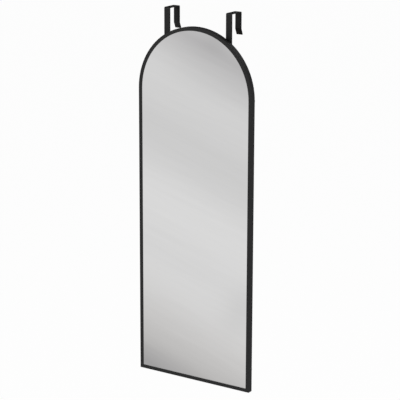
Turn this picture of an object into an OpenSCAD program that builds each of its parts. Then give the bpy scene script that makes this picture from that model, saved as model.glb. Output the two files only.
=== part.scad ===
// Arched mirror that hangs over the top of a door on two flat hooks.
// Units are millimetres. +Z is up and the glass faces -Y, away from the door.
// The origin is on the door's top edge, midway between the hooks, in the plane of the door's face.

/* [Mirror] */
// Overall width of the frame
mirror_w = 350; // [300:5:450]
// Height of the frame from its bottom edge to the crown of its arch
mirror_h = 958; // [700:5:1300]
// Thickness of the mirror glass
glass_t = 3; // [3:0.5:5]
// Thickness of the safety film on the back of the glass
film_t = 0.2; // [0.1:0.1:0.5]
// Thickness of the foam sheet behind the film
foam_t = 1; // [0.5:0.5:3]
// Thickness of the backing board
board_t = 3; // [2:0.5:5]
// Gap between the edges of these sheets and the inside of the frame's wall
sheet_fit = 0.5; // [0.3:0.1:0.8]

/* [Frame profile] */
// Width of the front lip, which shows as the black border
lip_w = 9.5; // [6:0.5:11]
// Thickness of the front lip
lip_t = 1.5; // [1.2:0.1:2.5]
// Thickness of the outer wall
wall_t = 1.5; // [1.2:0.1:2.5]
// How far the middle web and the rear flange reach inwards from the outer face
flange_w = 12; // [11:0.5:16]
// Thickness of the middle web
web_t = 1.2; // [1:0.1:2]
// Thickness of the rear flange
flange_t = 1.4; // [1.4:0.1:2.5]
// Clear depth of the channel between the web and the rear flange
channel_d = 3.4; // [3:0.1:5]
// Chamfer on the long edges of the profile
edge_chamfer = 0.4; // [0.2:0.1:0.6]
// Gap at the mitred joints of the lower corners
mitre_gap = 0.05; // [0.02:0.01:0.1]

/* [Door hooks] */
// Distance between the middles of the two hooks
hook_spacing = 190; // [150:2:210]
// Height of the top of the hooks above the crown of the arch
hook_rise = 42; // [30:1:70]
// Width of the flat strap
strap_w = 18; // [14:0.5:22]
// Thickness of the flat strap
strap_t = 2; // [2:0.1:3]
// Inner radius of the two square bends
bend_r = 1.5; // [1:0.1:3]
// Thickest door that fits between the pads
door_t = 40; // [35:1:50]
// Drop of the rear leg from the top of the strap to its end
rear_drop = 60.5; // [50:0.5:80]
// Length of the flared end of the rear leg
flare_l = 15; // [10:0.5:20]
// Angle of the flared end away from the door
flare_a = 24; // [10:1:35]
// Inner radius of the bend that starts the flare
flare_r = 6; // [3:0.5:10]
// Radius of the corners at both ends of the strap
strap_end_r = 1.5; // [1:0.5:4]
// Whole height that the mirror can be raised or lowered on its hooks
travel = 40; // [20:2:50]
// Gap between the back of the frame and the hook's leg
slide_gap = 0.3; // [0.2:0.1:0.6]

/* [Pads and bumpers] */
// Thickness of the pads between the hooks and the door
pad_t = 1; // [0.5:0.1:2]
// Width of the pads
pad_w = 12; // [8:0.5:13]
// Distance of the pads' ends from the bends
pad_inset = 2; // [1:0.5:4]
// Length of the pad on the front leg
front_pad_l = 38; // [20:1:60]
// Diameter of the rubber bumpers on the back of the frame
bumper_d = 10; // [8:0.5:11]
// How much smaller the bumpers' diameter is where they touch the door
bumper_taper = 1; // [0:0.2:2]
// Height of the lower bumpers above the bottom edge
bumper_z = 60; // [50:5:120]

/* [Hook plates] */
// Thickness of the steel hook plates and corner keys
plate_t = 2; // [1.5:0.1:2.4]
// Distance from the strap's edge to each screw that holds a hook plate
ear_reach = 10; // [8:0.5:14]
// Plate left around a screw hole
ear_margin = 8; // [6:0.5:12]
// Radius of the plate's lower corners
plate_r = 5; // [2:0.5:8]
// Distance from the inner edge of the flange down to the upper clamp screw
clamp_drop = 14; // [12:0.5:20]
// Distance between a hook's two clamp screws
clamp_pitch = 22; // [16:1:30]
// Plate below the lower clamp screw
plate_foot = 12; // [9:0.5:18]
// Gap between the plates or keys and the outer wall
plate_fit = 0.3; // [0.2:0.1:0.6]

/* [Clamp screws and nuts] */
// Thread diameter of the clamp screws
clamp_d = 4; // [3.5:0.5:4]
// Head diameter of the clamp screws
clamp_head_d = 7.2; // [6.8:0.2:7.2]
// Depth of the heads below the strap's face
head_sink = 0.1; // [0.1:0.05:0.2]
// Clearance between the strap's slot and the screws, all round
slot_fit = 0.2; // [0.15:0.05:0.4]
// Strap left beyond the lower end of the slot
slot_foot = 8; // [6:0.5:14]
// Diameter of the clinch nut's body
nut_d = 7; // [6.5:0.5:8]
// Diameter of the clinch nut's flange
nut_flange_d = 10; // [9:0.5:11]
// Thickness of the clinch nut's flange
nut_flange_t = 1.5; // [1:0.1:1.8]
// Gap between the nut's end and the strap
clamp_gap = 0.1; // [0.05:0.05:0.2]
// Screw end that stands past the nut
screw_past = 0.8; // [0.5:0.1:1]

/* [Small screws] */
// Thread diameter of the screws in the rear flange
small_d = 3; // [2.5:0.5:3]
// Head diameter of these screws
small_head_d = 5.6; // [5:0.1:5.6]
// Their length
small_l = 4; // [3.6:0.1:4.2]
// Radial clearance of threads and shanks in their holes
thread_fit = 0.05; // [0.02:0.01:0.1]

/* [Corner keys] */
// Length of each leg of a key
key_l = 36; // [30:1:60]
// Width of each leg
key_w = 9; // [7:0.5:9.2]
// Distance of the key's screws from the outer corner
key_screw = 26; // [20:1:28]

/* [Spring clips] */
// Height that the clips fill between the board and the web
clip_h = 1.3; // [1:0.1:2]
// Thickness of the spring steel
clip_t = 0.5; // [0.3:0.05:0.6]
// Length of a clip along the frame
clip_l = 34; // [24:1:50]
// Width of a clip
clip_w = 15; // [12:1:20]
// Clips on each upright
side_clips = 3; // [2:1:5]
// Clips on the bottom rail
rail_clips = 2; // [1:1:3]

/* [Hidden] */
$fn = 96;

LEFT = -1;
RIGHT = 1;
SIDES = [LEFT, RIGHT];
// Largest turn between two stations on a bend, in degrees
bend_part = 7.5;
// Sides of the wide circles that bow the spring clips
bow_sides = 720;
// Angle at which the rounded corners of the strap's ends meet its edges, in degrees
end_short = 15;
// Width of a screw's socket across its corners, as a share of the thread's diameter
socket_width = 0.72;
// Depth of the socket, as a share of the head's height
socket_depth = 0.8;
// Where the clips of the arch lie, in degrees round it from the right
arch_clip_angles = [20, 90, 160];
// How far a cutter reaches past what it cuts
past = 1;
black = "#2b2b2c";
zinc = "#b9bcc0";

half_w = mirror_w / 2;
hook_x = hook_spacing / 2;

// Depths of the frame's layers, from its front face
glass_d = lip_t;
film_d = glass_d + glass_t;
foam_d = film_d + film_t;
board_d = foam_d + foam_t;
clip_d = board_d + board_t;
web_d = clip_d + clip_h;
channel_start = web_d + web_t;
flange_d = channel_start + channel_d;
frame_d = flange_d + flange_t;

// Planes across Y, forward from the door's face at zero
leg_rear_y = -pad_t;
leg_front_y = leg_rear_y - strap_t;
frame_rear_y = leg_front_y - slide_gap;
frame_front_y = frame_rear_y - frame_d;
flange_front_y = frame_rear_y - flange_t;
plate_front_y = flange_front_y - plate_t;

// Heights, from the door's top edge at zero
hook_top = pad_t + strap_t;
crown_z = hook_top - hook_rise;
arch_z = crown_z - half_w;
bottom_z = crown_z - mirror_h;
upright_l = arch_z - bottom_z;

// Radii and middle line of the rear channel
wall_in_r = half_w - wall_t;
channel_mid = (wall_t + flange_w) / 2;
sheet_r = wall_in_r - sheet_fit;
plate_arc_r = wall_in_r - plate_fit;

// Clamp screws, the slot they run in, and the leg around it
flange_edge_z = arch_z + rise(half_w - flange_w, hook_x);
clamp_top = flange_edge_z - clamp_drop;
clamp_low = clamp_top - clamp_pitch;
clamp_heights = [clamp_top, clamp_low];
slot_top = clamp_top + travel / 2;
slot_low = clamp_low - travel / 2;
slot_r = clamp_d / 2 + slot_fit;
slot_mouth_r = clamp_head_d / 2 + head_sink + slot_fit;
leg_low_z = slot_low - slot_mouth_r - slot_foot;
plate_half = strap_w / 2 + ear_reach + ear_margin;
plate_low_z = clamp_low - plate_foot;
ear_xs = [hook_x - strap_w / 2 - ear_reach, hook_x + strap_w / 2 + ear_reach];

// Straight runs of the strap between its bends
legs_gap = door_t + 2 * pad_t;
front_run = hook_top - strap_t - bend_r - leg_low_z;
top_run = legs_gap - 2 * bend_r;
flare_drop = (flare_r + strap_t) * sin(flare_a) + flare_l * cos(flare_a);
rear_run = rear_drop - strap_t - bend_r - flare_drop;
// Each step is a straight run, the turn after it and that turn's inner radius
hook_steps = [
  [front_run, -90, bend_r],
  [top_run, -90, bend_r],
  [rear_run, flare_a, flare_r],
  [flare_l, 0, 0]
];

// Places along the strap's door-side face, each [y, z, heading], from the foot of the front leg
stations = strap_stations(hook_steps, [leg_rear_y, leg_low_z, 90]);

// Height of a circle of radius r at a distance x from its middle
function rise(r, x) = sqrt(r * r - x * x);

// Unit vector to the left of a heading
function left_of(h) = [-sin(h), cos(h)];

// The point across the strap's thickness from a station, on the face away from the door
function across_strap(s) = [s[0], s[1]] + strap_t * left_of(s[2]);

// Stations of one step: where its straight run ends, then one for each part of its bend.
// A bend turns about a point on the door's side when it closes over the door, and beyond
// the far face when it opens away from it.
function step_stations(step, from) =
  let(
    h = from[2],
    turn = step[1],
    corner = [from[0], from[1]] + step[0] * [cos(h), sin(h)],
    lever = turn < 0 ? -step[2] : strap_t + step[2],
    middle = corner + lever * left_of(h),
    parts = ceil(abs(turn) / bend_part)
  )
  concat(
    [[corner[0], corner[1], h]],
    parts == 0 ? [] : [
      for (i = [1:parts])
        let(hi = h + turn * i / parts, p = middle - lever * left_of(hi))
        [p[0], p[1], hi]
    ]
  );

// Stations of the whole strap, each step starting where the last one ends
function strap_stations(steps, from, i = 0) =
  i == len(steps)
    ? [from]
    : let(run = step_stations(steps[i], from), last = len(run) - 1)
      concat(
        [from],
        [for (k = [0:1:last - 1]) run[k]],
        strap_stations(steps, run[last], i + 1)
      );

// Section of the frame: x runs inwards from the outer face, y runs back from the front face
function frame_section() = [
  [0, edge_chamfer],
  [edge_chamfer, 0],
  [lip_w - edge_chamfer, 0],
  [lip_w, edge_chamfer],
  [lip_w, lip_t],
  [wall_t, lip_t],
  [wall_t, web_d],
  [flange_w, web_d],
  [flange_w, channel_start],
  [wall_t, channel_start],
  [wall_t, flange_d],
  [flange_w, flange_d],
  [flange_w, frame_d],
  [edge_chamfer, frame_d],
  [0, frame_d - edge_chamfer]
];

// ---------- Shared shapes ----------

// Stands a flat shape, drawn with x across and y up, from depth y0 back by t
module plate_at(y0, t) {
  translate([0, y0 + t, 0])
    rotate([90, 0, 0])
      linear_extrude(t)
        children();
}

// Points +Z of its children towards the door
module facing_door(x, y, z) {
  translate([x, y, z])
    rotate([-90, 0, 0])
      children();
}

// Straight length of frame profile along +Z, outer face at x = 0 and inside at +x
module profile_bar(length) {
  linear_extrude(length)
    polygon(frame_section());
}

// Half circle of frame profile over the two uprights
module profile_arch() {
  ring = [for (p = frame_section()) [half_w - p[0], -frame_front_y - p[1]]];
  translate([0, 0, arch_z])
    rotate([90, 0, 0])
      rotate_extrude(angle = 180)
        polygon(ring);
}

// Block whose sloping ends are the planes of the two mitres
module mitre_wedge(gap) {
  h = 2 * flange_w;
  plate_at(frame_front_y - past, frame_d + 2 * past)
    polygon([
      [-half_w - h + gap, bottom_z - h],
      [half_w + h - gap, bottom_z - h],
      [half_w - h - gap, bottom_z + h],
      [-half_w + h + gap, bottom_z + h]
    ]);
}

// Outline of the glass and the sheets behind it
module sheet_outline() {
  low = bottom_z + wall_t + sheet_fit;
  translate([0, arch_z])
    intersection() {
      circle(sheet_r);
      translate([-half_w, 0])
        square([mirror_w, half_w]);
    }
  translate([-sheet_r, low])
    square([2 * sheet_r, arch_z - low]);
}

// Cutter for a countersunk hole in the rear flange, mouth on the frame's back
module flange_hole() {
  sink = (small_head_d - small_d) / 2 + thread_fit;
  translate([0, 0, -flange_t - past])
    cylinder(h = flange_t + 2 * past, r = small_d / 2 + thread_fit);
  translate([0, 0, -sink])
    cylinder(h = sink, r1 = small_d / 2 + thread_fit, r2 = small_head_d / 2 + 2 * thread_fit);
}

// Cutter for a through hole in a plate behind the rear flange
module thread_hole(d) {
  translate([0, 0, -flange_t - plate_t - past])
    cylinder(h = plate_t + 2 * past, r = d / 2 + thread_fit);
}

// Countersunk screw with a hexagon socket, its head's face at z = 0
module countersunk_screw(d, head_d, length) {
  head_h = (head_d - d) / 2;
  socket_h = head_h * socket_depth;
  difference() {
    rotate_extrude()
      polygon([[0, -length], [d / 2, -length], [d / 2, -head_h], [head_d / 2, 0], [0, 0]]);
    translate([0, 0, -socket_h])
      cylinder(h = socket_h + past, d = d * socket_width, $fn = 6);
  }
}

// Screws of the corner keys stand over this point on the upright and its mirror on the rail
module at_upright_screws() {
  for (side = SIDES)
    facing_door(side * (half_w - channel_mid), frame_rear_y, bottom_z + key_screw)
      children();
}

module at_rail_screws() {
  for (side = SIDES)
    facing_door(side * (half_w - key_screw), frame_rear_y, bottom_z + channel_mid)
      children();
}

module at_plate_screws(sides = SIDES) {
  for (side = sides)
    for (x = ear_xs)
      facing_door(side * x, frame_rear_y, arch_z + rise(half_w - channel_mid, x))
        children();
}

module at_clamps(y, sides = SIDES) {
  for (side = sides)
    for (z = clamp_heights)
      facing_door(side * hook_x, y, z)
        children();
}

// ---------- Frame ----------

// One length of profile, bent over the top and mitred at both feet
module arch_frame() {
  color(black)
    difference() {
      union() {
        profile_arch();
        translate([-half_w, frame_front_y, bottom_z])
          profile_bar(upright_l);
        translate([half_w, frame_front_y, bottom_z])
          mirror([1, 0, 0])
            profile_bar(upright_l);
      }
      mitre_wedge(0);
      at_upright_screws()
        flange_hole();
      at_plate_screws()
        flange_hole();
    }
}

module bottom_rail() {
  color(black)
    difference() {
      intersection() {
        translate([half_w, frame_front_y, bottom_z])
          rotate([0, -90, 0])
            profile_bar(mirror_w);
        mitre_wedge(mitre_gap);
      }
      at_rail_screws()
        flange_hole();
    }
}

// Flat steel angle in the channel of one lower corner
module corner_key(side) {
  inset = wall_t + plate_fit;
  color(zinc)
    difference() {
      plate_at(plate_front_y, plate_t)
        mirror([side > 0 ? 1 : 0, 0])
          translate([-half_w + inset, bottom_z + inset]) {
            square([key_w, key_l]);
            translate([key_w, 0])
              square([key_l - key_w, key_w]);
          }
      at_upright_screws()
        thread_hole(small_d);
      at_rail_screws()
        thread_hole(small_d);
    }
}

module corner_key_left() {
  corner_key(LEFT);
}

module corner_key_right() {
  corner_key(RIGHT);
}

module corner_screws() {
  color(black) {
    at_upright_screws()
      countersunk_screw(small_d, small_head_d, small_l);
    at_rail_screws()
      countersunk_screw(small_d, small_head_d, small_l);
  }
}

// ---------- Mirror and backing ----------

module mirror_glass() {
  color("#c9cccd")
    plate_at(frame_front_y + glass_d, glass_t)
      sheet_outline();
}

module safety_film() {
  color("#e8eaec")
    plate_at(frame_front_y + film_d, film_t)
      sheet_outline();
}

module foam_sheet() {
  color("#f4f4f2")
    plate_at(frame_front_y + foam_d, foam_t)
      sheet_outline();
}

module backing_board() {
  color("#6b4a32")
    plate_at(frame_front_y + board_d, board_t)
      sheet_outline();
}

// Strip bowed to an arc: its middle bears on the board and its two ends on the web.
// It lies along +Z with its edge at x = 0, and y runs back from the board.
module spring_clip() {
  lift = clip_h - clip_t;
  bow_r = (clip_l * clip_l / 4 + lift * lift) / (2 * lift);
  rotate([0, -90, 0])
    translate([0, 0, -clip_w])
      linear_extrude(clip_w)
        intersection() {
          translate([0, bow_r + clip_t])
            difference() {
              circle(bow_r + clip_t, $fn = bow_sides);
              circle(bow_r, $fn = bow_sides);
            }
          translate([-clip_l / 2, -past])
            square([clip_l, clip_h + 2 * past]);
        }
}

// Clips press the board to the glass all round. Those of the arch move in a little,
// so that their straight ends clear the curved wall.
module spring_clips() {
  start = wall_t + sheet_fit;
  tuck = sheet_r - rise(sheet_r, clip_l / 2);
  clip_y = frame_front_y + clip_d;
  color(zinc) {
    for (i = [0:side_clips - 1])
      for (side = SIDES)
        translate([side * (half_w - start), clip_y, bottom_z + upright_l * (i + 0.5) / side_clips])
          mirror([side > 0 ? 1 : 0, 0, 0])
            spring_clip();
    for (i = [0:rail_clips - 1])
      translate([mirror_w * ((i + 0.5) / rail_clips - 0.5), clip_y, bottom_z + start])
        rotate([0, -90, 0])
          spring_clip();
    for (a = arch_clip_angles)
      translate([0, clip_y, arch_z])
        rotate([0, -a, 0])
          translate([half_w - start - tuck, 0, 0])
            mirror([1, 0, 0])
              spring_clip();
  }
}

// ---------- Hook plates, nuts and screws ----------

// Steel plate in the arch's channel, its top edge curved as the arch is
module hook_plate(side) {
  color(zinc)
    difference() {
      plate_at(plate_front_y, plate_t)
        mirror([side > 0 ? 0 : 1, 0])
          intersection() {
            translate([0, arch_z])
              circle(plate_arc_r);
            plate_outline();
          }
      at_plate_screws([side])
        thread_hole(small_d);
      at_clamps(frame_rear_y, [side])
        thread_hole(nut_d);
    }
}

// Plate with square top and rounded lower corners
module plate_outline() {
  left = hook_x - plate_half;
  right = hook_x + plate_half;
  translate([left, plate_low_z + plate_r])
    square([2 * plate_half, mirror_w]);
  translate([left + plate_r, plate_low_z])
    square([2 * (plate_half - plate_r), plate_r]);
  for (x = [left + plate_r, right - plate_r])
    translate([x, plate_low_z + plate_r])
      circle(plate_r);
}

module hook_plate_left() {
  hook_plate(LEFT);
}

module hook_plate_right() {
  hook_plate(RIGHT);
}

module plate_screws() {
  color(black)
    at_plate_screws()
      countersunk_screw(small_d, small_head_d, small_l);
}

// Nuts pressed through the plates: the flange bears on the front and the body reaches the strap
module clinch_nuts() {
  body_l = flange_t + slide_gap - clamp_gap + plate_t;
  color(zinc)
    at_clamps(plate_front_y)
      difference() {
        union() {
          cylinder(h = body_l, d = nut_d);
          translate([0, 0, -nut_flange_t])
            cylinder(h = nut_flange_t, d = nut_flange_d);
        }
        translate([0, 0, -nut_flange_t - past])
          cylinder(h = body_l + nut_flange_t + 2 * past, r = clamp_d / 2 + thread_fit);
      }
}

module clamp_screws() {
  head_y = leg_rear_y - head_sink;
  length = head_y - plate_front_y + nut_flange_t + screw_past;
  color(black)
    at_clamps(head_y)
      countersunk_screw(clamp_d, clamp_head_d, length);
}

module rear_bumpers() {
  color("#3a3a3a")
    for (side = SIDES)
      for (z = [bottom_z + bumper_z, arch_z])
        facing_door(side * (half_w - flange_w / 2), frame_rear_y, z)
          cylinder(h = -frame_rear_y, d1 = bumper_d, d2 = bumper_d - bumper_taper);
}

// ---------- Door hooks ----------

// Flat strap folded along its stations, the door side first and back along the other face
module folded_strap() {
  far_side = [for (i = [len(stations) - 1:-1:0]) across_strap(stations[i])];
  near_side = [for (s = stations) [s[0], s[1]]];
  translate([-strap_w / 2, 0, 0])
    rotate([90, 0, 90])
      linear_extrude(strap_w)
        polygon(concat(near_side, far_side));
}

// Cutter that rounds both corners of a strap end at z = 0, the strap running away along +Z.
// Each arc meets the strap's edges at a small angle, so it stops short of a quarter turn.
module round_end() {
  inset = strap_end_r * cos(end_short);
  for (side = SIDES)
    mirror([side > 0 ? 0 : 1, 0, 0])
      translate([strap_w / 2 - inset, 0, inset])
        rotate([90, 0, 0])
          linear_extrude(2 * (strap_t + past), center = true)
            difference() {
              translate([0, -inset - past])
                square(inset + past);
              circle(strap_end_r);
            }
}

// Slot for the clamp screws, with sloping sides that take their heads.
// Half turns of one section close the two ends of its straight run.
module clamp_slot() {
  h = slot_top - slot_low;
  sink = slot_mouth_r - slot_r;
  section = [
    [slot_r, -strap_t - past],
    [slot_r, -sink],
    [slot_mouth_r, 0],
    [slot_mouth_r, past]
  ];
  half = concat([[0, past], [0, -strap_t - past]], section);
  whole = concat([for (i = [3:-1:0]) [-section[i][0], section[i][1]]], section);
  facing_door(0, leg_rear_y, slot_low) {
    rotate_extrude(angle = 180)
      polygon(half);
    rotate([90, 0, 0])
      linear_extrude(h)
        polygon(whole);
    translate([0, -h, 0])
      rotate([0, 0, 180])
        rotate_extrude(angle = 180)
          polygon(half);
  }
}

module door_hook(side) {
  tip = stations[len(stations) - 1];
  color(black)
    translate([side * hook_x, 0, 0])
      difference() {
        folded_strap();
        translate([0, leg_rear_y, leg_low_z])
          round_end();
        translate([0, tip[0], tip[1]])
          rotate([tip[2] + 90, 0, 0])
            round_end();
        clamp_slot();
      }
}

module door_hook_left() {
  door_hook(LEFT);
}

module door_hook_right() {
  door_hook(RIGHT);
}

// Pads stick to the three faces of the hook that touch the door
module top_pad(side) {
  color("#1f1f20")
    translate([side * hook_x - pad_w / 2, pad_inset, 0])
      cube([pad_w, door_t - 2 * pad_inset, pad_t]);
}

module leg_pad(side, y, length) {
  color("#1f1f20")
    translate([side * hook_x - pad_w / 2, y, -pad_inset - length])
      cube([pad_w, pad_t, length]);
}

module top_pad_left() {
  top_pad(LEFT);
}

module top_pad_right() {
  top_pad(RIGHT);
}

module front_pad_left() {
  leg_pad(LEFT, leg_rear_y, front_pad_l);
}

module front_pad_right() {
  leg_pad(RIGHT, leg_rear_y, front_pad_l);
}

module rear_pad_left() {
  leg_pad(LEFT, door_t, rear_run - pad_inset);
}

module rear_pad_right() {
  leg_pad(RIGHT, door_t, rear_run - pad_inset);
}

arch_frame();
bottom_rail();
corner_key_left();
corner_key_right();
corner_screws();
mirror_glass();
safety_film();
foam_sheet();
backing_board();
spring_clips();
hook_plate_left();
hook_plate_right();
plate_screws();
clinch_nuts();
clamp_screws();
rear_bumpers();
door_hook_left();
door_hook_right();
top_pad_left();
top_pad_right();
front_pad_left();
front_pad_right();
rear_pad_left();
rear_pad_right();
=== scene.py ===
"""Finishes, pads, bumpers and studio for an arched mirror that hangs over a door.

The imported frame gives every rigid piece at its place. This file gives each one its finish,
models the soft pads and bumpers that stand for the plain ones, and sets up the floor, the
lights and the camera.
"""

import math

import bmesh
import bpy
from bpy.props import FloatProperty, FloatVectorProperty, IntProperty, PointerProperty
from mathutils import Matrix, Vector


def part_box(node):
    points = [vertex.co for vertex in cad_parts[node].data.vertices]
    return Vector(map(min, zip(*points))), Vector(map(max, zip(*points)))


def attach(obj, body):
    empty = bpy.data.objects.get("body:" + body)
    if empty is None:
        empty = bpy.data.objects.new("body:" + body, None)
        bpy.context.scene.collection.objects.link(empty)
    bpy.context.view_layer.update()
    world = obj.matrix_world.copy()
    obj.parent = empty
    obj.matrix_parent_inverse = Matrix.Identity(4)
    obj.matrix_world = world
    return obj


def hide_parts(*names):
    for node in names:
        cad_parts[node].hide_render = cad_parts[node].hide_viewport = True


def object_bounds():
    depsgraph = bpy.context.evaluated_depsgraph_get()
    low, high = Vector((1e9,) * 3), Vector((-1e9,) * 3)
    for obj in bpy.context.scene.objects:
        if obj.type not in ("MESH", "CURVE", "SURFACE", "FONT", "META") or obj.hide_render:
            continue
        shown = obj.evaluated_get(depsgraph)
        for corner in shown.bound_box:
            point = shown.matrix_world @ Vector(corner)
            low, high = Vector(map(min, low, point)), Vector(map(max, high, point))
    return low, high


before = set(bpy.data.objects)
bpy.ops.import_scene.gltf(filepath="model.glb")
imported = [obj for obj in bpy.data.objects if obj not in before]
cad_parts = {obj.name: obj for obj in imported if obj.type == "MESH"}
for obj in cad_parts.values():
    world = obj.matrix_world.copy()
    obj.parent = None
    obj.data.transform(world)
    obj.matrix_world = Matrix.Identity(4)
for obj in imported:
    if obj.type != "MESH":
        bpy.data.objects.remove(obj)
CAD_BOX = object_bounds()

bl_info = {
    "name": "Over the door mirror",
    "version": (1, 0, 0),
    "blender": (4, 5, 0),
    "location": "View3D > Sidebar > Door mirror",
    "description": "Finishes, pads and studio for an arched mirror on two door hooks",
    "category": "Object",
}

MM = 0.001
SIDES = ("left", "right")
MIRROR_BODY = "mirror"

# Cosine above which two directions count as one
SAME_WAY = 0.99
# Distance in metres within which two points count as one
TOUCHING = 1e-6

WHITE = (1, 1, 1)
BLACK = (0, 0, 0)
# Tints of the light in the room, as shares of red, green and blue
PLAIN = (1, 1, 1)
WARM = (1.012, 1, 0.99)
PINK = (1.014, 1, 1.012)

# Outward directions of the pads' free faces, by the start of the CAD node's name
PAD_FACING = {
    "top_pad": Vector((0, 0, -1)),
    "front_pad": Vector((0, 1, 0)),
    "rear_pad": Vector((0, -1, 0)),
}
# Width in millimetres of each ring of a pad, from its rim inwards, and its share of the crown
PAD_RINGS = ((0.08, 0.34), (0.14, 0.26), (0.24, 0.18), (0.4, 0.12), (0.5, 0.07), (0.5, 0.03))
# Width and rise in millimetres of each ring of a bumper's face, from its rim inwards
BUMPER_RINGS = ((0.9, 0), (0.35, -0.22), (0.3, -0.1), (0.9, 0.05), (0.8, 0.03))


# ---------- Settings ----------


class CoatSettings(bpy.types.PropertyGroup):
    """Black powder coat on the frame and on the two hooks."""

    frame_colour: FloatVectorProperty(
        name="Frame colour",
        description="Colour of the coat on the aluminium frame",
        subtype="COLOR",
        size=3,
        min=0,
        max=1,
        default=(0.0085, 0.0085, 0.0087),
    )
    hook_colour: FloatVectorProperty(
        name="Hook colour",
        description="Colour of the coat on the steel hooks",
        subtype="COLOR",
        size=3,
        min=0,
        max=1,
        default=(0.006, 0.006, 0.0062),
    )
    peel: FloatProperty(
        name="Peel size",
        description="Size of the fine dimples in the coat",
        subtype="DISTANCE",
        unit="LENGTH",
        min=0.2 * MM,
        max=4 * MM,
        default=0.9 * MM,
    )
    peel_depth: FloatProperty(
        name="Peel depth",
        description="Depth of the dimples",
        subtype="DISTANCE",
        unit="LENGTH",
        min=0,
        max=0.1 * MM,
        default=0.012 * MM,
    )
    frame_sheen: FloatProperty(
        name="Frame sheen",
        description="Strength of the plain reflection of the frame's coat",
        subtype="FACTOR",
        min=0,
        max=1,
        default=0.3,
    )
    hook_sheen: FloatProperty(
        name="Hook sheen",
        description="Strength of the plain reflection of the hooks' coat",
        subtype="FACTOR",
        min=0,
        max=1,
        default=0.26,
    )


class GlassSettings(bpy.types.PropertyGroup):
    """Silvered glass and the sheets behind it."""

    silver: FloatVectorProperty(
        name="Silver",
        description="Share of the light that the silvered glass returns",
        subtype="COLOR",
        size=3,
        min=0,
        max=1,
        default=(0.87, 0.868, 0.867),
    )
    film_colour: FloatVectorProperty(
        name="Film colour",
        description="Colour of the safety film's cut edge",
        subtype="COLOR",
        size=3,
        min=0,
        max=1,
        default=(0.8, 0.81, 0.82),
    )
    sheet_colour: FloatVectorProperty(
        name="Foam sheet colour",
        description="Colour of the foam sheet behind the film",
        subtype="COLOR",
        size=3,
        min=0,
        max=1,
        default=(0.82, 0.82, 0.8),
    )
    board_colour: FloatVectorProperty(
        name="Board colour",
        description="Middle colour of the hardboard behind the glass",
        subtype="COLOR",
        size=3,
        min=0,
        max=1,
        default=(0.205, 0.118, 0.066),
    )


class FixingSettings(bpy.types.PropertyGroup):
    """Plates, corner keys, clips, nuts and screws."""

    plate_colour: FloatVectorProperty(
        name="Plate colour",
        description="Colour of the zinc on the hook plates and corner keys",
        subtype="COLOR",
        size=3,
        min=0,
        max=1,
        default=(0.6, 0.61, 0.62),
    )
    nut_colour: FloatVectorProperty(
        name="Nut colour",
        description="Colour of the zinc on the clinch nuts",
        subtype="COLOR",
        size=3,
        min=0,
        max=1,
        default=(0.56, 0.57, 0.58),
    )
    clip_colour: FloatVectorProperty(
        name="Clip colour",
        description="Colour of the blued steel of the spring clips",
        subtype="COLOR",
        size=3,
        min=0,
        max=1,
        default=(0.27, 0.3, 0.36),
    )
    temper_colour: FloatVectorProperty(
        name="Temper colour",
        description="Straw colour of the heat stains on the spring clips",
        subtype="COLOR",
        size=3,
        min=0,
        max=1,
        default=(0.36, 0.29, 0.2),
    )
    screw_colour: FloatVectorProperty(
        name="Screw colour",
        description="Colour of the black oxide on the screws",
        subtype="COLOR",
        size=3,
        min=0,
        max=1,
        default=(0.05, 0.05, 0.054),
    )


class PadSettings(bpy.types.PropertyGroup):
    """Foam pads on the hooks and rubber bumpers on the frame."""

    corner: FloatProperty(
        name="Pad corner",
        description="Radius of the die cut corners of the pads",
        subtype="DISTANCE",
        unit="LENGTH",
        min=0.5 * MM,
        max=5 * MM,
        default=2 * MM,
    )
    crown: FloatProperty(
        name="Pad crown",
        description="How far the middle of a pad stands above its rim",
        subtype="DISTANCE",
        unit="LENGTH",
        min=0,
        max=0.6 * MM,
        default=0.35 * MM,
    )
    bumper_radius: FloatProperty(
        name="Bumper radius",
        description="Radius of a bumper where it meets the frame",
        subtype="DISTANCE",
        unit="LENGTH",
        min=4 * MM,
        max=5.5 * MM,
        default=5 * MM,
    )
    bumper_taper: FloatProperty(
        name="Bumper taper",
        description="How much smaller a bumper's radius is at its free end",
        subtype="DISTANCE",
        unit="LENGTH",
        min=0,
        max=1 * MM,
        default=0.5 * MM,
    )
    bumper_rim: FloatProperty(
        name="Bumper rim",
        description="Radius of the rolled edge round a bumper's free end",
        subtype="DISTANCE",
        unit="LENGTH",
        min=0.2 * MM,
        max=1 * MM,
        default=0.7 * MM,
    )
    foam_colour: FloatVectorProperty(
        name="Foam colour",
        description="Colour of the pads' closed cell foam",
        subtype="COLOR",
        size=3,
        min=0,
        max=1,
        default=(0.014, 0.014, 0.0142),
    )
    rubber_colour: FloatVectorProperty(
        name="Rubber colour",
        description="Colour of the bumpers",
        subtype="COLOR",
        size=3,
        min=0,
        max=1,
        default=(0.028, 0.028, 0.029),
    )


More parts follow.
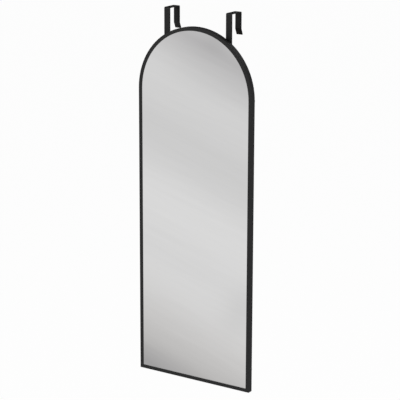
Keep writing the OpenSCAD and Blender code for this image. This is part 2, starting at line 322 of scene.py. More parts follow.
class StudioSettings(bpy.types.PropertyGroup):
    """Camera, floor and lights."""

    azimuth: FloatProperty(
        name="Azimuth",
        description="How far the camera stands round to the mirror's right",
        subtype="ANGLE",
        unit="ROTATION",
        default=math.radians(33.49),
    )
    elevation: FloatProperty(
        name="Elevation",
        description="How far the camera stands above the mirror's middle",
        subtype="ANGLE",
        unit="ROTATION",
        default=math.radians(14.94),
    )
    roll: FloatProperty(
        name="Roll",
        description="Turn of the camera about its own line of sight",
        subtype="ANGLE",
        unit="ROTATION",
        default=math.radians(0.173),
    )
    distance: FloatProperty(
        name="Distance",
        description="Distance from the camera to the point it looks at",
        subtype="DISTANCE",
        unit="LENGTH",
        min=1,
        max=20,
        default=4.5,
    )
    lens: FloatProperty(
        name="Lens",
        description="Focal length in millimetres on a sensor 36 mm wide",
        subtype="DISTANCE_CAMERA",
        unit="CAMERA",
        min=20,
        max=400,
        default=154.4,
    )
    aim: FloatVectorProperty(
        name="Aim",
        description="Point on the mirror that the camera is turned to",
        subtype="TRANSLATION",
        unit="LENGTH",
        size=3,
        default=(0, -0.0193, -0.497),
    )
    slide: FloatVectorProperty(
        name="Slide",
        description="How far the camera then moves to its right and up",
        subtype="TRANSLATION",
        unit="LENGTH",
        size=2,
        default=(0.0164, 0.0016),
    )
    floor_drop: FloatProperty(
        name="Floor drop",
        description="Depth of the floor below the door's top edge",
        subtype="DISTANCE",
        unit="LENGTH",
        min=1.1,
        max=3,
        default=2,
    )
    floor_radius: FloatProperty(
        name="Floor radius",
        description="Radius of the round floor",
        subtype="DISTANCE",
        unit="LENGTH",
        min=10,
        max=100,
        default=60,
    )
    floor_sides: IntProperty(
        name="Floor sides",
        description="Sides of the round floor",
        min=12,
        max=256,
        default=96,
    )
    floor_colour: FloatVectorProperty(
        name="Floor colour",
        description="Colour of the plain pale floor",
        subtype="COLOR",
        size=3,
        min=0,
        max=1,
        default=(0.86, 0.86, 0.86),
    )
    backdrop: FloatProperty(
        name="Backdrop",
        description="Brightness of the background that the camera sees",
        subtype="FACTOR",
        min=0,
        max=1,
        default=0.978,
    )
    room_light: FloatProperty(
        name="Room light",
        description="Brightness of the even light from all round",
        min=0,
        max=2,
        default=0.62,
    )


# ---------- Node helpers ----------


def empty_tree(owner):
    """Node tree of a material or world, with nothing in it."""
    owner.use_nodes = True
    owner.node_tree.nodes.clear()
    return owner.node_tree


def add(tree, kind, **settings):
    """New shader node of a kind, with its settings."""
    made = tree.nodes.new("ShaderNode" + kind)
    for name, value in settings.items():
        setattr(made, name, value)
    return made


def put(tree, socket, value):
    """Feeds a socket from another socket, or sets its value."""
    if isinstance(value, bpy.types.NodeSocket):
        tree.links.new(value, socket)
    elif socket.type == "RGBA" and len(value) == 3:
        socket.default_value = (*value, 1)
    else:
        socket.default_value = value


def calc(tree, operation, *values):
    """Result of a Math node."""
    made = add(tree, "Math", operation=operation)
    for socket, value in zip(made.inputs, values):
        put(tree, socket, value)
    return made.outputs["Value"]


def weighted(tree, *parts):
    """Sum of two values, each given with its weight."""
    return calc(tree, "ADD", *(calc(tree, "MULTIPLY", value, weight) for value, weight in parts))


def spread(tree, value, low, high, start=0.0, end=1.0):
    """A value from start to end, spread over low to high."""
    made = add(tree, "MapRange")
    put(tree, made.inputs["Value"], value)
    put(tree, made.inputs["From Min"], start)
    put(tree, made.inputs["From Max"], end)
    put(tree, made.inputs["To Min"], low)
    put(tree, made.inputs["To Max"], high)
    return made.outputs["Result"]


def blend_colour(tree, share, first, second):
    """Colour between two others."""
    made = add(tree, "Mix", data_type="RGBA")
    put(tree, made.inputs["Factor"], share)
    put(tree, made.inputs[6], first)
    put(tree, made.inputs[7], second)
    return made.outputs[2]


def shade_colour(tree, colour, tone, low, high):
    """A colour made darker or lighter by a tone from 0 to 1."""
    darker = [c * low for c in colour]
    lighter = [min(c * high, 1) for c in colour]
    return blend_colour(tree, tone, darker, lighter)


def place(tree):
    """Position on the piece, in metres in the frame's own axes."""
    return add(tree, "TexCoord").outputs["Object"]


def turned(tree, vector, degrees):
    """Vector turned about the axis that runs through the glass."""
    made = add(tree, "Mapping", vector_type="POINT")
    put(tree, made.inputs["Vector"], vector)
    put(tree, made.inputs["Rotation"], (0, math.radians(degrees), 0))
    return made.outputs["Vector"]


def stretched(tree, vector, across, along):
    """Vector scaled by one value across X and Y and another along Z."""
    factors = add(tree, "CombineXYZ")
    for axis, value in (("X", across), ("Y", across), ("Z", along)):
        put(tree, factors.inputs[axis], value)
    made = add(tree, "VectorMath", operation="MULTIPLY")
    put(tree, made.inputs[0], vector)
    put(tree, made.inputs[1], factors.outputs["Vector"])
    return made.outputs["Vector"]


def noise(tree, vector, scale, detail=2.0, rough=0.5):
    """Value of a Noise texture."""
    made = add(tree, "TexNoise")
    put(tree, made.inputs["Vector"], vector)
    put(tree, made.inputs["Scale"], scale)
    put(tree, made.inputs["Detail"], detail)
    put(tree, made.inputs["Roughness"], rough)
    return made.outputs["Fac"]


def cells(tree, vector, scale, feature="F1"):
    """Outputs of a Voronoi texture."""
    made = add(tree, "TexVoronoi", feature=feature)
    put(tree, made.inputs["Vector"], vector)
    put(tree, made.inputs["Scale"], scale)
    return made.outputs


def soft_spot(tree, position, middle, reach):
    """Share that falls smoothly from 1 at a spot's middle to 0 well away from it."""
    away = []
    for value, centre, size in zip(position, middle, reach):
        offset = calc(tree, "DIVIDE", calc(tree, "SUBTRACT", value, centre), size)
        away.append(calc(tree, "MULTIPLY", offset, offset))
    return calc(tree, "EXPONENT", calc(tree, "MULTIPLY", calc(tree, "ADD", *away), -1.0))


def relief(tree, height, depth, strength=1.0):
    """Normal for a height map of a given depth in metres."""
    made = add(tree, "Bump")
    put(tree, made.inputs["Strength"], strength)
    put(tree, made.inputs["Distance"], depth)
    put(tree, made.inputs["Height"], height)
    return made.outputs["Normal"]


def shader_by_ray(tree, ray, usual, special):
    """One shader for a kind of ray, and another for all the rest."""
    made = add(tree, "MixShader")
    put(tree, made.inputs["Fac"], add(tree, "LightPath").outputs[ray])
    put(tree, made.inputs[1], usual)
    put(tree, made.inputs[2], special)
    return made.outputs["Shader"]


# ---------- Shared effects ----------


def powder_skin(tree, given, result):
    """Dimples, cloudy tone and gloss of a baked powder coat."""
    where = place(tree)
    peel = given["Peel"]
    dimples = noise(tree, where, peel, detail=3, rough=0.45)
    grit = noise(tree, where, calc(tree, "MULTIPLY", peel, 3.7), detail=2, rough=0.6)
    cloud = noise(tree, where, given["Cloud"], detail=4, rough=0.55)
    specks = cells(tree, where, calc(tree, "MULTIPLY", peel, 0.35))["Distance"]
    gloss = weighted(tree, (cloud, 0.7), (specks, 0.3))
    put(tree, result["Height"], weighted(tree, (dimples, 1.0), (grit, 0.35)))
    put(tree, result["Tone"], spread(tree, cloud, 0, 1, start=0.3, end=0.7))
    put(tree, result["Gloss"], spread(tree, gloss, 0, 1, start=0.25, end=0.75))


def drawn_metal(tree, given, result):
    """Fine lines that rolling or drawing leaves along a strip of metal."""
    where = place(tree)
    drawn = stretched(tree, where, given["Line"], given["Run"])
    lines = noise(tree, drawn, scale=1.0, detail=3, rough=0.6)
    stain = noise(tree, where, given["Stain"], detail=3, rough=0.6)
    put(tree, result["Height"], lines)
    put(tree, result["Line"], spread(tree, lines, 0, 1, start=0.25, end=0.75))
    put(tree, result["Stain"], spread(tree, stain, 0, 1, start=0.3, end=0.7))


def zinc_bloom(tree, given, result):
    """Small crystals and dull patches of zinc plate."""
    where = place(tree)
    crystals = cells(tree, where, given["Crystal"])
    split = add(tree, "SeparateColor")
    put(tree, split.inputs["Color"], crystals["Color"])
    cloud = noise(tree, where, given["Cloud"], detail=3, rough=0.6)
    mixed = weighted(tree, (split.outputs["Red"], 0.45), (cloud, 0.55))
    put(tree, result["Tone"], spread(tree, mixed, 0, 1, start=0.2, end=0.8))
    put(tree, result["Dull"], spread(tree, cloud, 0, 1, start=0.35, end=0.65))


def foam_cells(tree, given, result):
    """Skin of closed cell foam or moulded rubber: fine pits and soft blotches."""
    where = place(tree)
    pits = cells(tree, where, given["Cell"], "SMOOTH_F1")["Distance"]
    blotch = noise(tree, where, given["Blotch"], detail=3, rough=0.6)
    grain = weighted(tree, (pits, 0.6), (blotch, 0.4))
    put(tree, result["Height"], pits)
    put(tree, result["Tone"], spread(tree, grain, 0, 1, start=0.2, end=0.8))


def wipe_marks(tree, given, result):
    """Faint streaks that fall to the right, as a cloth leaves on glass and smooth board."""
    fallen = turned(tree, place(tree), degrees=-15)
    streaks = stretched(tree, fallen, given["Length"], given["Streak"])
    fine = noise(tree, streaks, scale=1.0, detail=4, rough=0.65)
    broad = noise(tree, streaks, scale=0.2, detail=2)
    put(tree, result["Mask"], spread(tree, fine, 0, 1, start=0.3, end=0.7))
    put(tree, result["Broad"], spread(tree, broad, 0, 1, start=0.3, end=0.7))


# What makes each shared effect, its inputs with their defaults, and its outputs
EFFECTS = {
    "Powder skin": (powder_skin, {"Peel": 900.0, "Cloud": 14.0}, ("Height", "Tone", "Gloss")),
    "Drawn metal": (
        drawn_metal,
        {"Line": 900.0, "Run": 30.0, "Stain": 40.0},
        ("Height", "Line", "Stain"),
    ),
    "Zinc bloom": (zinc_bloom, {"Crystal": 420.0, "Cloud": 60.0}, ("Tone", "Dull")),
    "Foam cells": (foam_cells, {"Cell": 2200.0, "Blotch": 160.0}, ("Height", "Tone")),
    "Wipe marks": (wipe_marks, {"Streak": 60.0, "Length": 4.0}, ("Mask", "Broad")),
}


def new_effect(name):
    """Node group of a shared effect, with float inputs and outputs."""
    make, inputs, outputs = EFFECTS[name]
    group = bpy.data.node_groups.new(name, "ShaderNodeTree")
    for label, default in inputs.items():
        socket = group.interface.new_socket(label, in_out="INPUT", socket_type="NodeSocketFloat")
        socket.default_value = default
    for label in outputs:
        group.interface.new_socket(label, in_out="OUTPUT", socket_type="NodeSocketFloat")
    given = group.nodes.new("NodeGroupInput").outputs
    make(group, given, group.nodes.new("NodeGroupOutput").inputs)
    return group


def use_effect(tree, name, **values):
    """Outputs of a shared effect, placed in a material with its own values."""
    group = bpy.data.node_groups.get(name)
    if group is None:
        group = new_effect(name)
    made = add(tree, "Group", node_tree=group)
    for label, value in values.items():
        put(tree, made.inputs[label], value)
    return made.outputs


# ---------- Finishes ----------


def new_finish(name):
    """Material with a Principled shader, and its tree and shader sockets."""
    finish = bpy.data.materials.new(name)
    tree = empty_tree(finish)
    shader = add(tree, "BsdfPrincipled")
    put(tree, add(tree, "OutputMaterial").inputs["Surface"], shader.outputs["BSDF"])
    return finish, tree, shader.inputs


def coat_finish(name, colour, sheen, coat, cloud):
    """Satin powder coat."""
    finish, tree, shader = new_finish(name)
    skin = use_effect(tree, "Powder skin", Peel=1 / coat.peel, Cloud=cloud)
    put(tree, shader["Base Color"], shade_colour(tree, colour, skin["Tone"], 0.86, 1.16))
    put(tree, shader["Roughness"], spread(tree, skin["Gloss"], 0.4, 0.52))
    put(tree, shader["Normal"], relief(tree, skin["Height"], coat.peel_depth))
    put(tree, shader["Specular IOR Level"], sheen)
    return finish


def mirror_finish(colour):
    """Silvered glass, with faint wiping streaks."""
    finish, tree, shader = new_finish("Silvered glass")
    marks = use_effect(tree, "Wipe marks", Streak=60.0, Length=4.0)
    put(tree, shader["Base Color"], shade_colour(tree, colour, marks["Mask"], 0.985, 1.01))
    put(tree, shader["Metallic"], 1)
    put(tree, shader["Roughness"], spread(tree, marks["Broad"], 0.0, 0.012))
    return finish


def film_finish(colour):
    """Clear plastic film, seen only on its cut edge."""
    finish, tree, shader = new_finish("Safety film")
    marks = use_effect(tree, "Wipe marks", Streak=200.0, Length=20.0)
    put(tree, shader["Base Color"], shade_colour(tree, colour, marks["Mask"], 0.96, 1.02))
    put(tree, shader["Roughness"], spread(tree, marks["Broad"], 0.2, 0.32))
    return finish


def foam_finish(name, colour, cell, blotch, roughness, depth):
    """Closed cell foam or moulded rubber."""
    finish, tree, shader = new_finish(name)
    skin = use_effect(tree, "Foam cells", Cell=cell, Blotch=blotch)
    dull = spread(tree, skin["Tone"], roughness - 0.08, roughness + 0.06)
    put(tree, shader["Base Color"], shade_colour(tree, colour, skin["Tone"], 0.75, 1.3))
    put(tree, shader["Roughness"], dull)
    put(tree, shader["Normal"], relief(tree, skin["Height"], depth))
    put(tree, shader["Specular IOR Level"], 0.2)
    return finish


def hardboard_finish(colour):
    """Smooth hardboard: pressed brown fibres, cloudy patches and darker flecks."""
    # Angle in degrees of each layer of fibres, and how many lie side by side in a metre
    layers = ((12, 1350), (68, 1180), (118, 1480), (163, 1050))
    # How many times longer than thick a fibre is
    slender = 7
    pale_fibre = (0.42, 0.275, 0.165)
    dark_fleck = (0.055, 0.03, 0.018)
    rubbed_patch = (0.26, 0.165, 0.1)

    finish, tree, shader = new_finish("Hardboard")
    where = place(tree)
    fibres = []
    for angle, density in layers:
        laid = stretched(tree, turned(tree, where, angle), density, density / slender)
        fibres.append(noise(tree, laid, scale=1.0, detail=2, rough=0.6))
    felt, gaps = fibres[0], fibres[0]
    for fibre in fibres[1:]:
        felt = calc(tree, "MAXIMUM", felt, fibre)
        gaps = calc(tree, "MINIMUM", gaps, fibre)
    cloud = noise(tree, where, scale=11.0, detail=4, rough=0.6)
    patch = noise(tree, where, scale=46.0, detail=3, rough=0.55)
    marks = use_effect(tree, "Wipe marks", Streak=26.0, Length=6.0)

    base = shade_colour(tree, colour, spread(tree, cloud, 0, 1, start=0.3, end=0.7), 0.8, 1.18)
    felted = spread(tree, felt, 0, 0.55, start=0.56, end=0.78)
    flecked = spread(tree, gaps, 0.6, 0, start=0.22, end=0.42)
    rubbed = spread(tree, patch, 0, 0.25, start=0.45, end=0.75)
    for share, tone in ((felted, pale_fibre), (flecked, dark_fleck), (rubbed, rubbed_patch)):
        base = blend_colour(tree, share, base, tone)
    put(tree, shader["Base Color"], base)
    dull = weighted(tree, (felt, 0.25), (marks["Mask"], 0.06))
    put(tree, shader["Roughness"], calc(tree, "ADD", dull, 0.34))
    put(tree, shader["Normal"], relief(tree, felt, 0.05 * MM, strength=0.7))
    return finish


def zinc_finish(name, colour, crystal, roughness):
    """Bright zinc plate."""
    finish, tree, shader = new_finish(name)
    bloom = use_effect(tree, "Zinc bloom", Crystal=crystal, Cloud=60.0)
    lines = use_effect(tree, "Drawn metal", Line=1400.0, Run=90.0, Stain=70.0)
    tone = weighted(tree, (bloom["Tone"], 0.75), (lines["Line"], 0.25))
    dull = spread(tree, bloom["Dull"], roughness - 0.03, roughness + 0.05)
    put(tree, shader["Base Color"], shade_colour(tree, colour, tone, 0.88, 1.08))
    put(tree, shader["Metallic"], 1)
    put(tree, shader["Roughness"], dull)
    put(tree, shader["Normal"], relief(tree, lines["Height"], 0.01 * MM))
    return finish


def spring_finish(colour, temper):
    """Blued spring steel with drawn lines and straw coloured temper stains."""
    finish, tree, shader = new_finish("Blued spring steel")
    lines = use_effect(tree, "Drawn metal", Line=1800.0, Run=120.0, Stain=90.0)
    blued = shade_colour(tree, colour, lines["Line"], 0.8, 1.2)
    stained = spread(tree, lines["Stain"], 0, 0.45, start=0.5)
    put(tree, shader["Base Color"], blend_colour(tree, stained, blued, temper))
    put(tree, shader["Metallic"], 1)
    put(tree, shader["Roughness"], spread(tree, lines["Line"], 0.26, 0.4))
    put(tree, shader["Normal"], relief(tree, lines["Height"], 0.012 * MM))
    return finish


def oxide_finish(colour):
    """Black oxide on the screws, slightly oily."""
    finish, tree, shader = new_finish("Black oxide")
    lines = use_effect(tree, "Drawn metal", Line=2600.0, Run=2600.0, Stain=300.0)
    put(tree, shader["Base Color"], shade_colour(tree, colour, lines["Stain"], 0.7, 1.5))
    put(tree, shader["Metallic"], spread(tree, lines["Stain"], 0.75, 0.9))
    put(tree, shader["Roughness"], spread(tree, lines["Line"], 0.28, 0.42))
    put(tree, shader["Normal"], relief(tree, lines["Height"], 0.008 * MM))
    return finish


def dress(names, finish):
    """Gives CAD nodes their finish."""
    for name in names:
        for material_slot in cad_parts[name].material_slots:
            material_slot.material = finish


# ---------- Modelling helpers ----------


def clear_selection():
    """Leaves object mode with nothing selected."""
    if bpy.context.object and bpy.context.object.mode != "OBJECT":
        bpy.ops.object.mode_set(mode="OBJECT")
    bpy.ops.object.select_all(action="DESELECT")


def name_new(name):
    """Names the new primitive and applies its place, turn and size."""
    piece = bpy.context.object
    piece.name = piece.data.name = name
    bpy.ops.object.transform_apply(location=True, rotation=True, scale=True)
    return piece


def edit(piece):
    """Enters edit mode on one piece, with nothing selected."""
    bpy.context.view_layer.objects.active = piece
    bpy.ops.object.mode_set(mode="EDIT")
    bpy.ops.mesh.select_all(action="DESELECT")


def pick(piece, kind, test):
    """Selects just the edges or the faces that pass a test."""
    bpy.ops.mesh.select_mode(type=kind)
    shape = bmesh.from_edit_mesh(piece.data)
    for part in shape.edges if kind == "EDGE" else shape.faces:
        part.select_set(test(part))
    bmesh.update_edit_mesh(piece.data)


def lift_rings(rings, facing):
    """Insets the selected face ring by ring, each ring raised a little along facing."""
    for width, rise in rings:
        bpy.ops.mesh.inset(thickness=width, depth=0)
        bpy.ops.transform.translate(value=facing * rise)


def finish_shape(angle):
    """Turns the faces outwards, leaves edit mode and smooths bends below the angle."""
    bpy.ops.mesh.select_all(action="SELECT")
    bpy.ops.mesh.remove_doubles(threshold=TOUCHING)
    bpy.ops.mesh.normals_make_consistent(inside=False)
    bpy.ops.object.mode_set(mode="OBJECT")
    bpy.ops.object.shade_smooth_by_angle(angle=math.radians(angle))


def make_pad(node, pads, finish):
    """One foam pad: die cut corners, a soft rolled rim and a crowned free face."""
    low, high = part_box(node)
    facing = PAD_FACING[node.rsplit("_", 1)[0]]

    def through(line):
        """True for an edge that runs through the pad's thickness."""
        run = line.verts[1].co - line.verts[0].co
        return abs(run.normalized().dot(facing)) > SAME_WAY

    clear_selection()
    bpy.ops.mesh.primitive_cube_add(size=1, location=(low + high) / 2, scale=high - low)
    pad = name_new(node + "_foam")
    edit(pad)
    pick(pad, "EDGE", through)
    bpy.ops.mesh.bevel(offset=pads.corner, segments=8, affect="EDGES")
    pick(pad, "FACE", lambda face: face.normal.dot(facing) > SAME_WAY)
    bpy.ops.transform.translate(value=-facing * pads.crown)
    lift_rings([(width * MM, share * pads.crown) for width, share in PAD_RINGS], facing)
    finish_shape(angle=50)
    pad.data.materials.append(finish)
    return pad


def mould_bumper(low, high, pads, finish):
    """Lower left bumper: a tapered button with a rolled rim and a shallow dished face."""
    radius = pads.bumper_radius
    clear_selection()
    bpy.ops.mesh.primitive_cone_add(
        vertices=64,
        radius1=radius,
        radius2=radius - pads.bumper_taper,
        depth=high.y - low.y,
        location=(low.x + radius, (low.y + high.y) / 2, low.z + radius),
        rotation=(math.radians(-90), 0, 0),
    )
    bumper = name_new("bumper_low_left")
    edit(bumper)
    pick(bumper, "EDGE", lambda line: all(v.co.y > high.y - TOUCHING for v in line.verts))
    bpy.ops.mesh.bevel(offset=pads.bumper_rim, segments=5, affect="EDGES")
    pick(bumper, "FACE", lambda face: face.normal.y > SAME_WAY)
    lift_rings([(width * MM, rise * MM) for width, rise in BUMPER_RINGS], Vector((0, 1, 0)))
    finish_shape(angle=40)
    bumper.data.materials.append(finish)
    return bumper


# ---------- Operators ----------


class DOORMIRROR_OT_camera(bpy.types.Operator):
    """Set the camera at the photograph's angle, distance and framing"""

    bl_idname = "door_mirror.camera"
    bl_label = "Camera"

    def execute(self, context):
        studio = context.scene.door_mirror_studio
        azimuth, elevation, roll = studio.azimuth, studio.elevation, studio.roll
        back = Vector((
            math.sin(azimuth) * math.cos(elevation),
            -math.cos(azimuth) * math.cos(elevation),
            math.sin(elevation),
        ))
        level = Vector((math.cos(azimuth), math.sin(azimuth), 0))
        upright = back.cross(level)
        right = level * math.cos(roll) + upright * math.sin(roll)
        up = upright * math.cos(roll) - level * math.sin(roll)
        position = Vector(studio.aim) + back * studio.distance
        position += right * studio.slide[0] + up * studio.slide[1]

        clear_selection()
        bpy.ops.object.camera_add()
        camera = context.object
        camera.name = camera.data.name = "Camera"
        camera.data.sensor_width = 36
        camera.data.lens = studio.lens
        camera.data.clip_start = 0.05
        camera.data.clip_end = 200
        turn = Matrix((right, up, back)).transposed().to_4x4()
        camera.matrix_world = Matrix.Translation(position) @ turn
        context.scene.camera = camera
        return {"FINISHED"}


class DOORMIRROR_OT_studio(bpy.types.Operator):
    """Lay the pale floor, hang the soft lights and set the even room light"""

    bl_idname = "door_mirror.studio"
    bl_label = "Floor and lights"

    # Position, side in metres and power in watts of each soft light
    lights = {
        "Key light": ((-2.6, -3.2, 1.6), 2.4, 62),
        "Side light": ((3.4, -1.8, 0.4), 2.0, 24),
        "Back light": ((1.4, 1.3, 2.9), 2.0, 50),
        "Top light": ((0.4, 0.2, 2.4), 2.0, 20),
    }

    # Share of the light that the floor takes on where the camera sees it, to keep the shadow
    floor_response = 0.03

    # How far the room's bands fall for each step to the right
    band_fall = 0.57
    # Scale and start across the bands, which put the row below over the main view
    band_scale = 4.942
    band_start = -2.485
    # Place across the bands, brightness and tint of each
    bands = (
        (0.0, 0.48, PINK),
        (0.10, 0.70, PLAIN),
        (0.20, 0.745, PLAIN),
        (0.32, 0.65, PLAIN),
        (0.44, 0.765, PLAIN),
        (0.54, 0.81, PLAIN),
        (0.64, 0.735, PLAIN),
        (0.74, 0.79, PLAIN),
        (0.86, 0.65, WARM),
        (0.94, 0.53, WARM),
        (1.0, 0.37, PINK),
    )
    # How far the bands wander, as a share of the row above
    band_drift = 0.08

    # Fine streaks across and along the bands, in each radian, and the most white they add
    streaks_across = 260.0
    streaks_along = 12.0
    streak_strength = 0.035

    # Middle and reach, across and along the bands, of each soft spot, its strength and its tone
    spots = (
        ((0.494, 0.480), (0.010, 0.010), 0.09, BLACK),
        ((0.520, 0.512), (0.020, 0.020), 0.07, WHITE),
        ((0.645, 0.373), (0.016, 0.014), 0.08, BLACK),
    )

    # Colour of the parts of the room that no lamp reaches
    unlit = (0.02, 0.02, 0.02)

    def execute(self, context):
        studio = context.scene.door_mirror_studio
        self.lay_floor(studio)
        for name, (position, side, power) in self.lights.items():
            self.hang_light(name, Vector(position), side, power)
        self.light_room(context.scene, studio)
        context.scene.view_settings.view_transform = "Standard"
        return {"FINISHED"}

    def lay_floor(self, studio):
        """A wide round floor under the mirror, which keeps its shadow."""
        clear_selection()
        bpy.ops.mesh.primitive_circle_add(
            vertices=studio.floor_sides,
            radius=studio.floor_radius,
            fill_type="NGON",
            location=(0, 0, -studio.floor_drop),
        )
        floor = name_new("Floor")
        floor.data.materials.append(self.floor_finish(studio))
        floor.visible_glossy = False

    def floor_finish(self, studio):
        """Pale matt floor. The camera sees it brighter, as a studio's white ground is lit."""
        finish = bpy.data.materials.new("Pale floor")
        tree = empty_tree(finish)
        mottle = noise(tree, place(tree), scale=1.3, detail=3)
        colour = shade_colour(tree, studio.floor_colour, mottle, 0.985, 1.015)
        plain = add(tree, "BsdfDiffuse")
        put(tree, plain.inputs["Color"], colour)
        faint = add(tree, "BsdfDiffuse")
        put(tree, faint.inputs["Color"], [self.floor_response] * 3)
        glow = add(tree, "Emission")
        taken = self.floor_response * studio.room_light
        put(tree, glow.inputs["Strength"], studio.backdrop - taken)
        lit = add(tree, "AddShader")
        put(tree, lit.inputs[0], faint.outputs["BSDF"])
        put(tree, lit.inputs[1], glow.outputs["Emission"])
        surface = shader_by_ray(
            tree, "Is Camera Ray", plain.outputs["BSDF"], lit.outputs["Shader"]
        )
        put(tree, add(tree, "OutputMaterial").inputs["Surface"], surface)
        return finish

    def hang_light(self, name, position, side, power):
        """Square soft light turned to the mirror's middle."""
        bpy.ops.object.light_add(type="AREA", location=position)
        lamp = bpy.context.object
        lamp.name = lamp.data.name = name
        lamp.data.shape = "SQUARE"
        lamp.data.size = side
        lamp.data.energy = power
        middle = (CAD_BOX[0] + CAD_BOX[1]) / 2
        lamp.rotation_mode = "QUATERNION"
        lamp.rotation_quaternion = (middle - position).to_track_quat("-Z", "Y")

    def light_room(self, scene, studio):
        """White for the camera, soft grey bands for reflections and even light for the rest."""
        world = bpy.data.worlds.new("Room")
        scene.world = world
        tree = empty_tree(world)
        even = self.background(tree, WHITE, studio.room_light)
        mirrored = self.background(tree, self.room_bands(tree), 1.0)
        seen = self.background(tree, WHITE, studio.backdrop)
        other = shader_by_ray(tree, "Is Glossy Ray", even, mirrored)
        surface = shader_by_ray(tree, "Is Camera Ray", other, seen)
        put(tree, add(tree, "OutputWorld").inputs["Surface"], surface)

    def background(self, tree, colour, strength):
        """Light from all round, of one colour and strength."""
        made = add(tree, "Background")
        put(tree, made.inputs["Color"], colour)
        put(tree, made.inputs["Strength"], strength)
        return made.outputs["Background"]

    def room_bands(self, tree):
        """Colour of the room's soft bands, which fall to the right in the glass."""
        split = add(tree, "SeparateXYZ")
        put(tree, split.inputs["Vector"], add(tree, "TexCoord").outputs["Generated"])
        axes = split.outputs
        height = calc(tree, "ARCSINE", axes["Z"])
        forward = [calc(tree, "MULTIPLY", axes[name], -1.0) for name in ("X", "Y")]
        bearing = calc(tree, "ARCTAN2", *forward)
        across = calc(
            tree, "SUBTRACT", calc(tree, "MULTIPLY", bearing, self.band_fall), height
        )
        along = calc(tree, "ADD", calc(tree, "MULTIPLY", height, self.band_fall), bearing)

        streak_at = add(tree, "CombineXYZ")
        put(tree, streak_at.inputs["X"], calc(tree, "MULTIPLY", across, self.streaks_across))
        put(tree, streak_at.inputs["Y"], calc(tree, "MULTIPLY", along, self.streaks_along))
        streaks = noise(tree, streak_at.outputs["Vector"], scale=1.0, detail=3, rough=0.6)
        wander = noise(tree, streak_at.outputs["Vector"], scale=0.12, detail=2)
        drift = calc(tree, "MULTIPLY", calc(tree, "SUBTRACT", wander, 0.5), self.band_drift)
        row = calc(tree, "MULTIPLY_ADD", across, self.band_scale, self.band_start)

        colour = self.band_colour(tree, calc(tree, "ADD", row, drift))
        streaked = spread(tree, streaks, 0, self.streak_strength, start=0.35, end=0.75)
        colour = blend_colour(tree, streaked, colour, WHITE)
        for middle, reach, strength, tone in self.spots:
            spot = soft_spot(tree, (across, along), middle, reach)
            colour = blend_colour(tree, calc(tree, "MULTIPLY", spot, strength), colour, tone)
        return self.dim_unlit(tree, axes, colour)

    def band_colour(self, tree, row):
        """Colour of the bands at a place in their row, which runs to and fro."""
        ramp = add(tree, "ValToRGB")
        ramp.color_ramp.interpolation = "B_SPLINE"
        points = ramp.color_ramp.elements
        while len(points) < len(self.bands):
            points.new(1.0)
        for point, (position, level, tint) in zip(points, self.bands):
            point.position = position
            point.color = (*(level * share for share in tint), 1)
        put(tree, ramp.inputs["Fac"], calc(tree, "PINGPONG", row, 1.0))
        return ramp.outputs["Color"]

    def dim_unlit(self, tree, axes, colour):
        """The room's colour, darker towards the ceiling and behind the mirror."""
        ceiling = spread(tree, axes["Z"], 0, 0.9, start=0.05, end=0.3)
        behind = spread(tree, axes["Y"], 0, 1, start=0.0, end=0.3)
        above_floor = spread(tree, axes["Z"], 0.6, 0.97, start=-0.05, end=0.1)
        behind = calc(tree, "MULTIPLY", behind, above_floor)
        dark = calc(tree, "MAXIMUM", ceiling, behind)
        # A little light comes back to the mirror's right side from behind it
        to_right = spread(tree, axes["X"], 0, 0.26, start=0.05, end=0.35)
        to_rear = spread(tree, axes["Y"], 0, 1, start=0.2, end=0.5)
        returned = calc(tree, "MULTIPLY", to_right, to_rear)
        dark = calc(tree, "MULTIPLY", dark, calc(tree, "SUBTRACT", 1.0, returned))
        return blend_colour(tree, dark, colour, self.unlit)


class DOORMIRROR_OT_frame(bpy.types.Operator):
    """Coat the arched frame and its bottom rail"""

    bl_idname = "door_mirror.frame"
    bl_label = "Frame"

    def execute(self, context):
        coat = context.scene.door_mirror_coat
        finish = coat_finish("Frame coat", coat.frame_colour, coat.frame_sheen, coat, cloud=14.0)
        dress(["arch_frame", "bottom_rail"], finish)
        return {"FINISHED"}


class DOORMIRROR_OT_hooks(bpy.types.Operator):
    """Coat the two door hooks"""

    bl_idname = "door_mirror.hooks"
    bl_label = "Door hooks"

    def execute(self, context):
        coat = context.scene.door_mirror_coat
        finish = coat_finish("Hook coat", coat.hook_colour, coat.hook_sheen, coat, cloud=30.0)
        dress([f"door_hook_{side}" for side in SIDES], finish)
        return {"FINISHED"}


class DOORMIRROR_OT_glass(bpy.types.Operator):
    """Silver the glass and give the film behind it its finish"""

    bl_idname = "door_mirror.glass"
    bl_label = "Mirror glass"

    def execute(self, context):
        glass = context.scene.door_mirror_glass
        dress(["mirror_glass"], mirror_finish(glass.silver))
        dress(["safety_film"], film_finish(glass.film_colour))
        return {"FINISHED"}


class DOORMIRROR_OT_backing(bpy.types.Operator):
    """Finish the hardboard and the foam sheet behind the glass"""

    bl_idname = "door_mirror.backing"
    bl_label = "Backing"

    def execute(self, context):
        glass = context.scene.door_mirror_glass
        dress(["backing_board"], hardboard_finish(glass.board_colour))
        foam = foam_finish(
            "White foam",
            glass.sheet_colour,
            cell=900.0,
            blotch=60.0,
            roughness=0.7,
            depth=0.08 * MM,
        )
        dress(["foam_sheet"], foam)
        return {"FINISHED"}


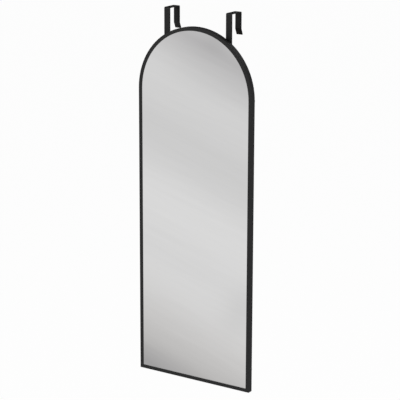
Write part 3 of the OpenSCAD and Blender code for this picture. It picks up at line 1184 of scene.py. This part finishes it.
class DOORMIRROR_OT_fixings(bpy.types.Operator):
    """Finish the plates, corner keys, clips, nuts and screws"""

    bl_idname = "door_mirror.fixings"
    bl_label = "Plates, keys, clips and screws"

    def execute(self, context):
        steel = context.scene.door_mirror_fixings
        plates = [f"{kind}_{side}" for kind in ("corner_key", "hook_plate") for side in SIDES]
        plate_zinc = zinc_finish("Zinc plate", steel.plate_colour, crystal=420.0, roughness=0.34)
        nut_zinc = zinc_finish("Nut zinc", steel.nut_colour, crystal=900.0, roughness=0.28)
        dress(plates, plate_zinc)
        dress(["clinch_nuts"], nut_zinc)
        dress(["spring_clips"], spring_finish(steel.clip_colour, steel.temper_colour))
        screws = ["corner_screws", "plate_screws", "clamp_screws"]
        dress(screws, oxide_finish(steel.screw_colour))
        return {"FINISHED"}


class DOORMIRROR_OT_pads(bpy.types.Operator):
    """Model the six foam pads that keep the hooks off the door"""

    bl_idname = "door_mirror.pads"
    bl_label = "Hook pads"

    def execute(self, context):
        pads = context.scene.door_mirror_pads
        foam = foam_finish(
            "Pad foam",
            pads.foam_colour,
            cell=2200.0,
            blotch=160.0,
            roughness=0.78,
            depth=0.05 * MM,
        )
        for side in SIDES:
            for kind in PAD_FACING:
                node = f"{kind}_{side}"
                pad = make_pad(node, pads, foam)
                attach(pad, f"{side}_hook")
                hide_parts(node)
        return {"FINISHED"}


class DOORMIRROR_OT_bumpers(bpy.types.Operator):
    """Model the four rubber bumpers on the back of the frame"""

    bl_idname = "door_mirror.bumpers"
    bl_label = "Bumpers"

    def execute(self, context):
        pads = context.scene.door_mirror_pads
        rubber = foam_finish(
            "Bumper rubber",
            pads.rubber_colour,
            cell=3200.0,
            blotch=240.0,
            roughness=0.62,
            depth=0.02 * MM,
        )
        low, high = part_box("rear_bumpers")
        first = mould_bumper(low, high, pads, rubber)
        made = [first]
        across = Vector((high.x - low.x - 2 * pads.bumper_radius, 0, 0))
        upward = Vector((0, 0, high.z - low.z - 2 * pads.bumper_radius))
        steps = {
            "bumper_low_right": across,
            "bumper_high_left": upward,
            "bumper_high_right": across + upward,
        }
        for name, step in steps.items():
            clear_selection()
            first.select_set(True)
            context.view_layer.objects.active = first
            bpy.ops.object.duplicate()
            bpy.ops.transform.translate(value=step)
            made.append(name_new(name))
        for bumper in made:
            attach(bumper, MIRROR_BODY)
            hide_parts("rear_bumpers")
        return {"FINISHED"}


class DOORMIRROR_PT_panel(bpy.types.Panel):
    """Settings and steps for the door mirror"""

    bl_label = "Door mirror"
    bl_idname = "DOORMIRROR_PT_panel"
    bl_space_type = "VIEW_3D"
    bl_region_type = "UI"
    bl_category = "Door mirror"

    def draw(self, context):
        for name in SETTINGS:
            settings = getattr(context.scene, name)
            box = self.layout.box()
            for prop in settings.bl_rna.properties:
                if not prop.is_readonly and prop.identifier != "name":
                    box.prop(settings, prop.identifier)
        for step in STEPS:
            self.layout.operator(step.bl_idname)


# Settings by their name on the scene, and the steps in the order in which they run
SETTINGS = {
    "door_mirror_coat": CoatSettings,
    "door_mirror_glass": GlassSettings,
    "door_mirror_fixings": FixingSettings,
    "door_mirror_pads": PadSettings,
    "door_mirror_studio": StudioSettings,
}
STEPS = (
    DOORMIRROR_OT_camera,
    DOORMIRROR_OT_studio,
    DOORMIRROR_OT_frame,
    DOORMIRROR_OT_hooks,
    DOORMIRROR_OT_glass,
    DOORMIRROR_OT_backing,
    DOORMIRROR_OT_fixings,
    DOORMIRROR_OT_pads,
    DOORMIRROR_OT_bumpers,
)
CLASSES = (*SETTINGS.values(), *STEPS, DOORMIRROR_PT_panel)


def register():
    """Registers the settings, the steps and the panel."""
    for kind in CLASSES:
        bpy.utils.register_class(kind)
    for name, kind in SETTINGS.items():
        setattr(bpy.types.Scene, name, PointerProperty(type=kind))


def unregister():
    """Removes what register added."""
    for name in SETTINGS:
        delattr(bpy.types.Scene, name)
    for kind in reversed(CLASSES):
        bpy.utils.unregister_class(kind)


def main():
    """Runs every step in order."""
    register()
    for step in STEPS:
        family, name = step.bl_idname.split(".")
        getattr(getattr(bpy.ops, family), name)()


if __name__ == "__main__":
    main()
